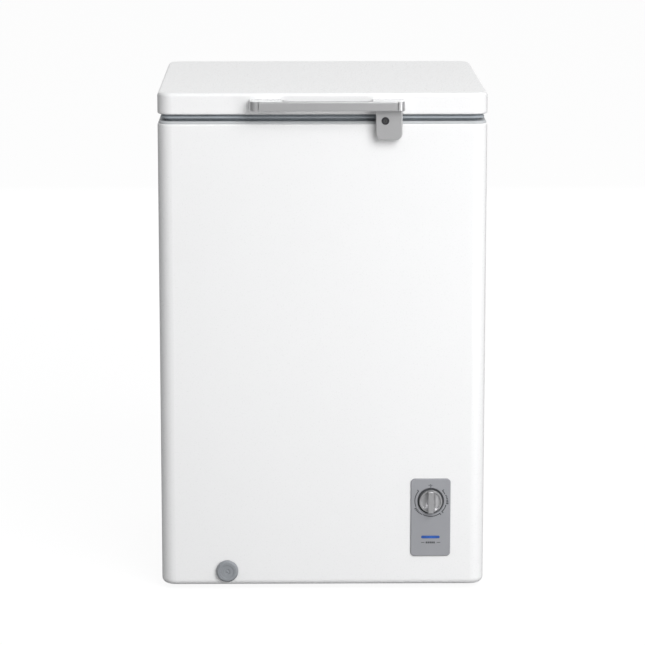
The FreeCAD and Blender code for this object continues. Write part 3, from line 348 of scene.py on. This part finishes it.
def floor_paper():
    """Seamless studio paper: white to look at, and a soft grey in what it throws back onto the object."""
    material, shader = surface("studio_paper", (0.36, 0.36, 0.362), 0.9, change=-0.01, patch=0.6, grain=60.0,
                               specular=0.0)
    glow = add_node(material, "ShaderNodeEmission")
    glow.inputs["Strength"].default_value = 1.32
    seen = add_node(material, "ShaderNodeMixShader")
    seen.inputs["Fac"].default_value = 0.3
    rays = add_node(material, "ShaderNodeLightPath")
    either = add_node(material, "ShaderNodeMixShader")
    link(material, glow.outputs["Emission"], seen.inputs[1])
    link(material, shader.outputs["BSDF"], seen.inputs[2])
    link(material, rays.outputs["Is Camera Ray"], either.inputs["Fac"])
    link(material, shader.outputs["BSDF"], either.inputs[1])
    link(material, seen.outputs["Shader"], either.inputs[2])
    link(material, either.outputs["Shader"], material.node_tree.nodes["Material Output"].inputs["Surface"])
    return material


MATERIALS = {make.__name__: make() for make in (
    white_steel, galvanised_steel, tank_aluminium, foam, frame_plastic, gasket_rubber, white_plastic,
    silver_plastic, panel_plastic, knob_plastic, lens_plastic, drain_plastic, black_plastic, foot_plastic,
    black_steel, motor_iron, copper, coil_aluminium, coil_steel, black_rubber, zinc_steel, spring_steel,
    slider_plastic, basket_wire, circuit_board, key_metal, print_ink, floor_paper)}


def paint_frame():
    """Gives every CAD node the material of its slot, and the knob its own."""
    slots = {part["node"]: part["material_slot"] for part in frame["record"]["subparts"]}
    slots["control_knob"] = "knob_plastic"
    for name, node in frame["nodes"].items():
        node.data.materials.clear()
        node.data.materials.append(MATERIALS[slots[name]])


# ------------------------------------------------------------------ mesh helpers
def mesh_piece(name, vertices, faces, material, smooth=True):
    mesh = bpy.data.meshes.new(name)
    mesh.from_pydata([tuple(vertex) for vertex in vertices], [], faces)
    mesh.validate()
    piece = bpy.data.objects.new(name, mesh)
    bpy.context.scene.collection.objects.link(piece)
    mesh.materials.append(MATERIALS[material])
    mesh.polygons.foreach_set("use_smooth", [smooth] * len(mesh.polygons))
    return piece


def ring_path(inset, corner_steps=10):
    """Points of the lid's outline drawn in by the inset, always the same number of them."""
    radius = max(LID_CORNER_R - inset, LEAST_CORNER_R)
    x0, x1 = LID_LOW.x + inset, LID_HIGH.x - inset
    y0, y1 = LID_LOW.y + inset, LID_HIGH.y - inset
    centres = [(x1 - radius, y0 + radius, -90), (x1 - radius, y1 - radius, 0),
               (x0 + radius, y1 - radius, 90), (x0 + radius, y0 + radius, 180)]
    points = []
    for x, y, start in centres:
        for step in range(corner_steps + 1):
            angle = math.radians(start + 90 * step / corner_steps)
            points.append((x + radius * math.cos(angle), y + radius * math.sin(angle)))
    return points


def swept_ring(name, profile, material):
    """Closed profile of (inset, height) points run round the lid's outline."""
    rings = [ring_path(inset) for inset, _ in profile]
    count = len(rings[0])
    width = len(profile)
    vertices = [(*rings[k][i], profile[k][1]) for i in range(count) for k in range(width)]
    faces = []
    for i in range(count):
        here = i * width
        there = (i + 1) % count * width
        for k in range(width):
            after = (k + 1) % width
            faces.append((here + k, there + k, there + after, here + after))
    return mesh_piece(name, vertices, faces, material)


def tube(points, radius, sides=8, closed=False):
    """Vertices and faces of a round wire along points."""
    points = [Vector(point) for point in points]
    count = len(points)
    vertices, faces = [], []
    side = None
    for i, point in enumerate(points):
        before = points[i - 1] if i or closed else point
        after = points[(i + 1) % count] if i + 1 < count or closed else point
        direction = (after - before).normalized()
        if side is None:
            side = direction.orthogonal().normalized()
        side = (side - direction * side.dot(direction)).normalized()
        other = direction.cross(side)
        for k in range(sides):
            angle = 2 * math.pi * k / sides
            vertices.append(point + (side * math.cos(angle) + other * math.sin(angle)) * radius)
    for i in range(count if closed else count - 1):
        here = i * sides
        there = (i + 1) % count * sides
        for k in range(sides):
            after = (k + 1) % sides
            faces.append((here + k, here + after, there + after, there + k))
    if not closed:
        faces.append(tuple(reversed(range(sides))))
        faces.append(tuple(range((count - 1) * sides, count * sides)))
    return vertices, faces


def merge(shapes):
    """One vertex and face list from several."""
    vertices, faces = [], []
    for more_vertices, more_faces in shapes:
        start = len(vertices)
        vertices += more_vertices
        faces += [tuple(start + index for index in face) for face in more_faces]
    return vertices, faces


def bend_polyline(points, radius, steps=5):
    """Rounds the inner corners of a polyline with short curves that start a radius from each."""
    points = [Vector(point) for point in points]
    path = [points[0]]
    for before, corner, after in zip(points, points[1:], points[2:]):
        start = corner + (before - corner).normalized() * radius
        end = corner + (after - corner).normalized() * radius
        for step in range(steps + 1):
            t = step / steps
            path.append(start * (1 - t) ** 2 + corner * 2 * t * (1 - t) + end * t ** 2)
    return path + [points[-1]]


# ------------------------------------------------------------------ pieces
def make_gasket():
    """Soft seal: a set-back heel under the lid, a broad round bulge, and a deep foot on the collar."""
    top = GASKET_HIGH.z
    low = GASKET_LOW.z
    outer = [(10.5, top), (10.2, top - 2.4 * MM), (7.0, top - 3.2 * MM), (5.4, top - 4.2 * MM),
             (5.0, top - 5.3 * MM), (5.3, top - 6.4 * MM), (6.6, top - 7.1 * MM), (13.6, top - 7.5 * MM)]
    foot = [(14.2, low + 0.6 * MM), (14.8, low), (18.5, low), (19.5, low + 0.8 * MM)]
    inner = [(19.6, top - 8.0 * MM), (22.6, top - 7.5 * MM), (23.6, top - 6.4 * MM), (23.9, top - 5.2 * MM),
             (23.4, top - 4.0 * MM), (21.6, top - 3.0 * MM), (20.5, top)]
    profile = [(inset * MM, height) for inset, height in outer + foot + inner]
    gasket = swept_ring("gasket_bellows", profile, "gasket_rubber")
    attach(gasket, "lid")
    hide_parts("lid_gasket")


def make_spring(side):
    """Spring with its end turns close together."""
    low, high = corners("hinge_spring_" + side)
    middle = centre("hinge_spring_" + side)
    wire = 1.35 * MM
    radius = (high.x - low.x) / 2 - wire
    turns = 9
    steps = 20 * turns
    span = (high.z - low.z) - 2 * wire
    points = []
    for step in range(steps + 1):
        t = step / steps
        eased = t - math.sin(4 * math.pi * t) / (8 * math.pi)
        angle = 2 * math.pi * turns * t
        points.append((middle.x + radius * math.cos(angle), middle.y + radius * math.sin(angle),
                       low.z + wire + span * eased))
    spring = mesh_piece("spring_coil_" + side, *tube(points, wire), "spring_steel")
    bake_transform(spring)
    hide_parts("hinge_spring_" + side)


def wire_loop(x_low, x_high, y_low, y_high, z, corner, wire):
    """Level wire rectangle with rounded corners."""
    outline = []
    for x, y, start in ((x_high - corner, y_low + corner, -90), (x_high - corner, y_high - corner, 0),
                        (x_low + corner, y_high - corner, 90), (x_low + corner, y_low + corner, 180)):
        for step in range(7):
            angle = math.radians(start + 15 * step)
            outline.append((x + corner * math.cos(angle), y + corner * math.sin(angle), z))
    return tube(outline, wire, closed=True)


def make_basket():
    """Coated wire basket: a thick rim on the ledge, U-shaped wires both ways and rings round the body."""
    wire = 1.3 * MM
    thick = 2.3 * MM
    rim_z = BASKET_HIGH.z - 2.4 * MM
    hook_z = rim_z - 9 * MM
    floor_z = BASKET_LOW.z + wire
    ledge_reach = 9.5 * MM
    front, rear = BASKET_LOW.y + ledge_reach, BASKET_HIGH.y - ledge_reach
    left, right = BASKET_LOW.x + wire, BASKET_HIGH.x - wire
    shapes = [wire_loop(BASKET_LOW.x + thick, BASKET_HIGH.x - thick, BASKET_LOW.y + thick,
                        BASKET_HIGH.y - thick, rim_z, 10 * MM, thick)]
    for height in (60 * MM, 120 * MM):
        shapes.append(wire_loop(left, right, front, rear, floor_z + height, 14 * MM, wire))
    base_inset = 6 * MM
    shapes.append(wire_loop(left + base_inset, right - base_inset, front + base_inset, rear - base_inset,
                            floor_z + 8 * MM, 14 * MM, 1.8 * MM))

    lengthways = 9
    margin = 16 * MM
    for n in range(lengthways):
        x = left + margin + (right - left - 2 * margin) * n / (lengthways - 1)
        points = [(x, BASKET_LOW.y + thick, rim_z), (x, front, hook_z), (x, front, floor_z),
                  (x, rear, floor_z), (x, rear, hook_z), (x, BASKET_HIGH.y - thick, rim_z)]
        shapes.append(tube(bend_polyline(points, 4 * MM), wire))

    crossways = 17
    margin = 18 * MM
    upper_z = rim_z - thick
    lower_z = floor_z + wire * 2
    for n in range(crossways):
        y = front + margin + (rear - front - 2 * margin) * n / (crossways - 1)
        points = [(left, y, upper_z), (left, y, lower_z), (right, y, lower_z), (right, y, upper_z)]
        shapes.append(tube(bend_polyline(points, 8 * MM), wire))
    basket = mesh_piece("wire_basket", *merge(shapes), "basket_wire")
    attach(basket, "basket")
    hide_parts("storage_basket")


# ------------------------------------------------------------------ printed marks on the panel, and painted shade round the knob
PRINT_PROUD = 0.06 * MM


def clockwise(angle, radius):
    """Point at an angle clockwise from the knob's top, on the panel."""
    turn = math.radians(angle)
    return KNOB_CENTRE.x + radius * math.sin(turn), KNOB_CENTRE.z + radius * math.cos(turn)


def raised_strip(inner, outer, face_y=PANEL_FACE_Y):
    """Thin raised band between two rows of (x, z) points, on the panel's face or another upright face."""
    count = len(inner)
    front = face_y - PRINT_PROUD
    vertices = [(x, front, z) for x, z in inner + outer] + [(x, face_y, z) for x, z in inner + outer]
    faces = []
    for i in range(count - 1):
        faces.append((i, i + 1, count + i + 1, count + i))
        faces.append((2 * count + i, 2 * count + i + 1, i + 1, i))
        faces.append((count + i, count + i + 1, 3 * count + i + 1, 3 * count + i))
    faces.append((0, count, 3 * count, 2 * count))
    faces.append((count - 1, 3 * count - 1, 4 * count - 1, 2 * count - 1))
    return vertices, faces


def arc_mark(start, end, low, high, steps=24):
    angles = [start + (end - start) * step / steps for step in range(steps + 1)]
    return raised_strip([clockwise(a, low) for a in angles], [clockwise(a, high) for a in angles])


def bar_mark(x0, x1, z0, z1):
    return raised_strip([(x0, z0), (x1, z0)], [(x0, z1), (x1, z1)])


def dial_marks():
    """Two arcs round the knob, ticks at their ends, and a run of graded bars in a gap of each arc."""
    ring = 25.9 * MM
    line = 1.5 * MM
    shapes = []
    for start, gap_start, gap_end, end in ((48.5, 67, 102, 134.3), (144, 210, 246, 310)):
        shapes.append(arc_mark(start, gap_start - 2, ring, ring + line))
        shapes.append(arc_mark(gap_end + 2, end, ring, ring + line))
        for angle in (start, end):
            shapes.append(arc_mark(angle - 1.3, angle + 1.3, ring, ring + 4.0 * MM, 2))
        count = 6
        for n in range(count):
            angle = gap_start + (gap_end - gap_start) * (n + 0.5) / count
            reach = (2.0 + 0.4 * n) * MM
            shapes.append(arc_mark(angle - 2.0, angle + 2.0, ring + 0.5 * MM, ring + 0.5 * MM + reach, 3))
    return shapes


def painted_shade_ring():
    """Dark ring of painted shade on the floor of the knob's well, in the gap round the knob, standing in for
    the shadow there.
    """
    turns = [360 * step / 48 for step in range(49)]
    inner = [clockwise(a, 18.0 * MM) for a in turns]
    outer = [clockwise(a, 22.2 * MM) for a in turns]
    return [raised_strip(inner, outer, PANEL_FACE_Y + WELL_DEPTH)]


def nought_mark():
    """A nought with a short dash on each side, over a small pointer triangle."""
    x = KNOB_CENTRE.x
    tip = KNOB_CENTRE.z + 23.2 * MM
    top = tip + 1.8 * MM
    shapes = [raised_strip([(x - 0.2 * MM, tip), (x + 0.2 * MM, tip)],
                           [(x - 1.4 * MM, top), (x + 1.4 * MM, top)])]
    x = KNOB_CENTRE.x - 0.6 * MM
    z = KNOB_CENTRE.z + 27.2 * MM
    turns = [2 * math.pi * step / 24 for step in range(25)]
    shapes.append(raised_strip([(x + 0.5 * MM * math.cos(a), z + 0.7 * MM * math.sin(a)) for a in turns],
                               [(x + 1.3 * MM * math.cos(a), z + 1.6 * MM * math.sin(a)) for a in turns]))
    for dash_x in (x - 2.5 * MM, x + 2.5 * MM):
        shapes.append(bar_mark(dash_x - 0.8 * MM, dash_x + 0.8 * MM, z - 0.5 * MM, z + 0.5 * MM))
    return shapes


def lamp_sign():
    """A row of short bars between two dashes, under the lens."""
    z = LENS_CENTRE.z - 9.56 * MM
    shapes = [bar_mark(LENS_CENTRE.x + x0 * MM, LENS_CENTRE.x + x1 * MM, z - 0.5 * MM, z + 0.5 * MM)
              for x0, x1 in ((-15.8, -10.2), (10.6, 16.8))]
    for n in range(5):
        x = LENS_CENTRE.x + (-6.6 + 3.2 * n) * MM
        shapes.append(bar_mark(x - 1.25 * MM, x + 1.25 * MM, z - 1.6 * MM, z + 1.6 * MM))
    return shapes


def make_panel_print_and_shade_ring():
    # The marks are print, except the ring in the knob's well, which is painted shade.
    shapes = dial_marks() + painted_shade_ring() + nought_mark() + lamp_sign()
    marks = mesh_piece("panel_print_and_shade_ring", *merge(shapes), "print_ink", smooth=False)
    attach(marks, "cabinet")


# ------------------------------------------------------------------ stage, light and camera
def make_floor():
    size = 60.0
    outline = [(-size, -size, 0), (size, -size, 0), (size, size, 0), (-size, size, 0)]
    floor = mesh_piece("studio_floor", outline, [(0, 1, 2, 3)], "floor_paper", smooth=False)


def area_light(name, place, aim, width, height, power):
    data = bpy.data.lights.new(name, "AREA")
    data.shape = "RECTANGLE"
    data.size = width
    data.size_y = height
    data.energy = power
    lamp = bpy.data.objects.new(name, data)
    lamp.location = place
    lamp.rotation_euler = (aim - place).to_track_quat("-Z", "Y").to_euler()
    bpy.context.scene.collection.objects.link(lamp)


def make_lights():
    """A large soft key from the upper right front, a low strip at the right, and a broad light behind."""
    middle = Vector((0, 0, 0.45))
    area_light("key", middle + 5.0 * Vector((0.38, -0.75, 0.54)), middle, 3.2, 3.2, 192)
    area_light("strip", Vector((1.30, -1.70, 0.50)), Vector((0.2, -0.2, 0.5)), 0.6, 0.9, 6)
    area_light("back", Vector((0, 4.0, 1.7)), middle, 3.6, 3.2, 21)


def make_world():
    """Pale surroundings that look white and light softly, with a dark left side in reflections."""
    world = bpy.data.worlds.new("studio")
    bpy.context.scene.world = world
    world.use_nodes = True
    nodes, links = world.node_tree.nodes, world.node_tree.links
    background = nodes["Background"]
    background.inputs["Color"].default_value = (0.955, 0.96, 0.965, 1)
    background.inputs["Strength"].default_value = 0.50
    seen = nodes.new("ShaderNodeBackground")
    seen.inputs["Color"].default_value = (1, 1, 1, 1)
    seen.inputs["Strength"].default_value = 1.01
    mirrored = nodes.new("ShaderNodeBackground")
    direction = nodes.new("ShaderNodeTexCoord")
    split = nodes.new("ShaderNodeSeparateXYZ")
    darker = nodes.new("ShaderNodeMapRange")
    for socket, value in (("From Min", -0.85), ("From Max", -0.25), ("To Min", 0.06), ("To Max", 0.50)):
        darker.inputs[socket].default_value = value
    links.new(direction.outputs["Generated"], split.inputs["Vector"])
    links.new(split.outputs["X"], darker.inputs["Value"])
    links.new(darker.outputs["Result"], mirrored.inputs["Strength"])
    rays = nodes.new("ShaderNodeLightPath")
    unseen = nodes.new("ShaderNodeMixShader")
    mix = nodes.new("ShaderNodeMixShader")
    links.new(rays.outputs["Is Glossy Ray"], unseen.inputs["Fac"])
    links.new(background.outputs["Background"], unseen.inputs[1])
    links.new(mirrored.outputs["Background"], unseen.inputs[2])
    links.new(rays.outputs["Is Camera Ray"], mix.inputs["Fac"])
    links.new(unseen.outputs["Shader"], mix.inputs[1])
    links.new(seen.outputs["Background"], mix.inputs[2])
    links.new(mix.outputs["Shader"], nodes["World Output"].inputs["Surface"])


def make_camera():
    place = Vector((-0.0566, -5.0, 1.3769))
    aim = Vector((0.0027, 0.0, 0.412))
    data = bpy.data.cameras.new("product_camera")
    data.sensor_width = 36.0
    data.lens = 161.9
    camera = bpy.data.objects.new("product_camera", data)
    camera.location = place
    camera.rotation_euler = (aim - place).to_track_quat("-Z", "Y").to_euler()
    bpy.context.scene.collection.objects.link(camera)
    bpy.context.scene.camera = camera


bpy.context.scene.view_settings.view_transform = "Standard"
make_camera()
make_world()
make_lights()
make_floor()
paint_frame()
make_gasket()
for side in ("left", "right"):
    make_spring(side)
make_basket()
make_panel_print_and_shade_ring()
